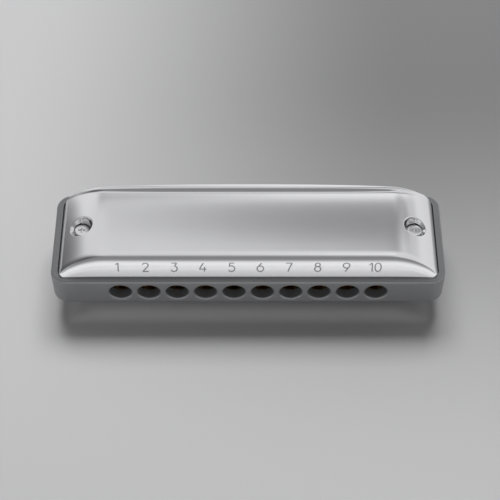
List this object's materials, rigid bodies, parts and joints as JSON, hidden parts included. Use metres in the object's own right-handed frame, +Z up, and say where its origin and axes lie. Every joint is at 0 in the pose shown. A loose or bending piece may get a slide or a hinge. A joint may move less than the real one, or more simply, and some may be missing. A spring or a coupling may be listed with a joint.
{
  "type": "diatonic harmonica",
  "caption": "Pocket harmonica: a grey metal comb with a row of round blow holes, brass reed plates with hinged reed tongues, and two polished sheet steel covers open at the back.",
  "frame": {"origin": "on the table, under the middle of the instrument's bounding box", "axes": "+X from hole 1 to hole 10, -Y the way the blow holes face, +Z up"},
  "size_m": [0.104, 0.0292, 0.0216],
  "materials": {
    "comb_anodised": "satin dark grey anodised",
    "cover_steel": "polished stainless sheet",
    "reed_plate_brass": "milled brass",
    "reed_bronze": "ground bronze",
    "rivet_brass": "turned brass",
    "screw_steel": "nickel plated",
    "plate_screw_brass": "turned brass"
  },
  "bodies": {
    "harmonica_body": {"comb": "comb_anodised", "upper_reed_plate": "reed_plate_brass", "lower_reed_plate": "reed_plate_brass", "upper_cover": "cover_steel", "lower_cover": "cover_steel", "cover_screw_left": "screw_steel", "cover_screw_right": "screw_steel", "cover_nut_left": "screw_steel", "cover_nut_right": "screw_steel", "reed_plate_screws": "plate_screw_brass", "blow_reed_roots": "reed_bronze", "draw_reed_roots": "reed_bronze", "blow_reed_rivets": "rivet_brass", "draw_reed_rivets": "rivet_brass"},
    "blow_reed_01": {"blow_reed_01": "reed_bronze"},
    "draw_reed_01": {"draw_reed_01": "reed_bronze"},
    "blow_reed_02": {"blow_reed_02": "reed_bronze"},
    "draw_reed_02": {"draw_reed_02": "reed_bronze"},
    "blow_reed_03": {"blow_reed_03": "reed_bronze"},
    "draw_reed_03": {"draw_reed_03": "reed_bronze"},
    "blow_reed_04": {"blow_reed_04": "reed_bronze"},
    "draw_reed_04": {"draw_reed_04": "reed_bronze"},
    "blow_reed_05": {"blow_reed_05": "reed_bronze"},
    "draw_reed_05": {"draw_reed_05": "reed_bronze"},
    "blow_reed_06": {"blow_reed_06": "reed_bronze"},
    "draw_reed_06": {"draw_reed_06": "reed_bronze"},
    "blow_reed_07": {"blow_reed_07": "reed_bronze"},
    "draw_reed_07": {"draw_reed_07": "reed_bronze"},
    "blow_reed_08": {"blow_reed_08": "reed_bronze"},
    "draw_reed_08": {"draw_reed_08": "reed_bronze"},
    "blow_reed_09": {"blow_reed_09": "reed_bronze"},
    "draw_reed_09": {"draw_reed_09": "reed_bronze"},
    "blow_reed_10": {"blow_reed_10": "reed_bronze"},
    "draw_reed_10": {"draw_reed_10": "reed_bronze"}
  },
  "joints": [
    {"name": "blow_reed_01_swing", "type": "hinge", "parent": "harmonica_body", "child": "blow_reed_01", "pos_m": [-0.03375, -0.008, 0.01395], "axis": [1, 0, 0], "range_deg": [-3.5, 3.5], "stiffness_Nm_per_rad": 0.000831},
    {"name": "draw_reed_01_swing", "type": "hinge", "parent": "harmonica_body", "child": "draw_reed_01", "pos_m": [-0.03375, 0.0041, 0.0067], "axis": [1, 0, 0], "range_deg": [-3.5, 3.5], "stiffness_Nm_per_rad": 0.000739},
    {"name": "blow_reed_02_swing", "type": "hinge", "parent": "harmonica_body", "child": "blow_reed_02", "pos_m": [-0.02625, -0.008, 0.01395], "axis": [1, 0, 0], "range_deg": [-3.5, 3.5], "stiffness_Nm_per_rad": 0.000721},
    {"name": "draw_reed_02_swing", "type": "hinge", "parent": "harmonica_body", "child": "draw_reed_02", "pos_m": [-0.02625, 0.0034, 0.0067], "axis": [1, 0, 0], "range_deg": [-3.5, 3.5], "stiffness_Nm_per_rad": 0.00064},
    {"name": "blow_reed_03_swing", "type": "hinge", "parent": "harmonica_body", "child": "blow_reed_03", "pos_m": [-0.01875, -0.008, 0.01395], "axis": [1, 0, 0], "range_deg": [-3.5, 3.5], "stiffness_Nm_per_rad": 0.000622},
    {"name": "draw_reed_03_swing", "type": "hinge", "parent": "harmonica_body", "child": "draw_reed_03", "pos_m": [-0.01875, 0.0027, 0.0067], "axis": [1, 0, 0], "range_deg": [-3.5, 3.5], "stiffness_Nm_per_rad": 0.000551},
    {"name": "blow_reed_04_swing", "type": "hinge", "parent": "harmonica_body", "child": "blow_reed_04", "pos_m": [-0.01125, -0.008, 0.01395], "axis": [1, 0, 0], "range_deg": [-3.5, 3.5], "stiffness_Nm_per_rad": 0.000532},
    {"name": "draw_reed_04_swing", "type": "hinge", "parent": "harmonica_body", "child": "draw_reed_04", "pos_m": [-0.01125, 0.002, 0.0067], "axis": [1, 0, 0], "range_deg": [-3.5, 3.5], "stiffness_Nm_per_rad": 0.00047},
    {"name": "blow_reed_05_swing", "type": "hinge", "parent": "harmonica_body", "child": "blow_reed_05", "pos_m": [-0.00375, -0.008, 0.01395], "axis": [1, 0, 0], "range_deg": [-3.5, 3.5], "stiffness_Nm_per_rad": 0.000451},
    {"name": "draw_reed_05_swing", "type": "hinge", "parent": "harmonica_body", "child": "draw_reed_05", "pos_m": [-0.00375, 0.0013, 0.0067], "axis": [1, 0, 0], "range_deg": [-3.5, 3.5], "stiffness_Nm_per_rad": 0.000398},
    {"name": "blow_reed_06_swing", "type": "hinge", "parent": "harmonica_body", "child": "blow_reed_06", "pos_m": [0.00375, -0.008, 0.01395], "axis": [1, 0, 0], "range_deg": [-3.5, 3.5], "stiffness_Nm_per_rad": 0.000378},
    {"name": "draw_reed_06_swing", "type": "hinge", "parent": "harmonica_body", "child": "draw_reed_06", "pos_m": [0.00375, 0.0006, 0.0067], "axis": [1, 0, 0], "range_deg": [-3.5, 3.5], "stiffness_Nm_per_rad": 0.000333},
    {"name": "blow_reed_07_swing", "type": "hinge", "parent": "harmonica_body", "child": "blow_reed_07", "pos_m": [0.01125, -0.008, 0.01395], "axis": [1, 0, 0], "range_deg": [-3.5, 3.5], "stiffness_Nm_per_rad": 0.000314},
    {"name": "draw_reed_07_swing", "type": "hinge", "parent": "harmonica_body", "child": "draw_reed_07", "pos_m": [0.01125, -0.0001, 0.0067], "axis": [1, 0, 0], "range_deg": [-3.5, 3.5], "stiffness_Nm_per_rad": 0.000276},
    {"name": "blow_reed_08_swing", "type": "hinge", "parent": "harmonica_body", "child": "blow_reed_08", "pos_m": [0.01875, -0.008, 0.01395], "axis": [1, 0, 0], "range_deg": [-3.5, 3.5], "stiffness_Nm_per_rad": 0.000258},
    {"name": "draw_reed_08_swing", "type": "hinge", "parent": "harmonica_body", "child": "draw_reed_08", "pos_m": [0.01875, -0.0008, 0.0067], "axis": [1, 0, 0], "range_deg": [-3.5, 3.5], "stiffness_Nm_per_rad": 0.000226},
    {"name": "blow_reed_09_swing", "type": "hinge", "parent": "harmonica_body", "child": "blow_reed_09", "pos_m": [0.02625, -0.008, 0.01395], "axis": [1, 0, 0], "range_deg": [-3.5, 3.5], "stiffness_Nm_per_rad": 0.000209},
    {"name": "draw_reed_09_swing", "type": "hinge", "parent": "harmonica_body", "child": "draw_reed_09", "pos_m": [0.02625, -0.0015, 0.0067], "axis": [1, 0, 0], "range_deg": [-3.5, 3.5], "stiffness_Nm_per_rad": 0.000182},
    {"name": "blow_reed_10_swing", "type": "hinge", "parent": "harmonica_body", "child": "blow_reed_10", "pos_m": [0.03375, -0.008, 0.01395], "axis": [1, 0, 0], "range_deg": [-3.5, 3.5], "stiffness_Nm_per_rad": 0.000166},
    {"name": "draw_reed_10_swing", "type": "hinge", "parent": "harmonica_body", "child": "draw_reed_10", "pos_m": [0.03375, -0.0022, 0.0067], "axis": [1, 0, 0], "range_deg": [-3.5, 3.5], "stiffness_Nm_per_rad": 0.000144}
  ]
}
